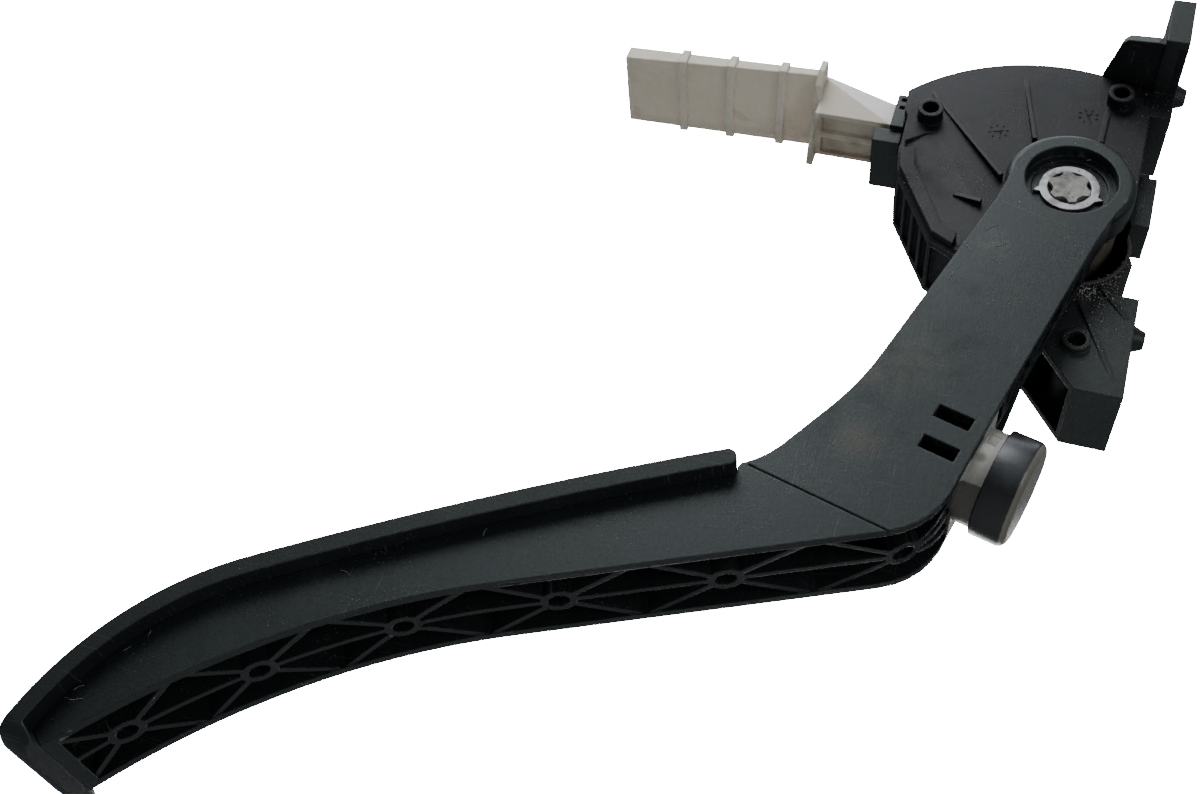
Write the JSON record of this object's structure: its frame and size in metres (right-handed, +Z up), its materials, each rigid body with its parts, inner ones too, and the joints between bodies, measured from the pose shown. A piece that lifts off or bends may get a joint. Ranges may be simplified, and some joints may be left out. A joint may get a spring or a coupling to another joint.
{
  "type": "accelerator pedal module",
  "caption": "Suspended accelerator pedal of a car: ribbed plastic lever with foot pad on a sector-shaped housing with angle sensor, return springs and kick-down stop.",
  "frame": {"origin": "midpoint between the two upper bolt holes, on the bulkhead face of the flange", "axes": "+X forward out of the flange to the bulkhead, +Z up, -Y towards the cover side of the housing"},
  "size_m": [0.2388, 0.064, 0.3051],
  "materials": {
    "housing_plastic": "satin",
    "lever_plastic": "satin",
    "pad_plastic": "satin",
    "support_plastic": "satin",
    "clip_plastic": "satin",
    "bearing_plastic": "satin",
    "drum_plastic": "matte",
    "shoe_lining": "matte",
    "rotor_plastic": "satin",
    "board": "satin",
    "rubber": "matte",
    "seal_rubber": "matte",
    "shaft_metal": "matte",
    "zinc": "satin",
    "spring_steel": "satin",
    "contact_metal": "satin"
  },
  "bodies": {
    "base": {"housing": "housing_plastic", "housing_cover": "housing_plastic", "case_screws": "zinc", "flange_sleeves": "zinc", "front_bush": "bearing_plastic", "rear_bush": "bearing_plastic", "friction_shoe": "shoe_lining", "return_spring_outer": "spring_steel", "return_spring_inner": "spring_steel", "idle_buffer": "rubber", "sensor_board": "board", "sensor_seal": "seal_rubber", "sensor_cover": "housing_plastic", "sensor_screws": "zinc", "connector_pins": "contact_metal", "support_arm": "support_plastic"},
    "lever": {"pedal_lever": "lever_plastic", "foot_pad": "pad_plastic", "pivot_shaft": "shaft_metal", "retaining_ring": "zinc", "spring_drum": "drum_plastic", "sensor_rotor": "rotor_plastic", "kickdown_holder": "clip_plastic", "kickdown_spring": "spring_steel"},
    "plunger": {"kickdown_cup": "rubber"}
  },
  "joints": [
    {"name": "pedal_pivot", "type": "hinge", "parent": "base", "child": "lever", "pos_m": [-0.0246, 0, -0.0595], "axis": [0, -1, 0], "range_deg": [0, 16], "stiffness_Nm_per_rad": 16, "springref_deg": -12.61, "deforming": ["return_spring_outer", "return_spring_inner"]},
    {"name": "kickdown_press", "type": "slide", "parent": "lever", "child": "plunger", "axis": [-0.9719, 0, 0.2353], "range_m": [0, 0.0045], "stiffness_N_per_m": 2000, "springref_m": -0.004, "deforming": ["kickdown_spring"]}
  ]
}
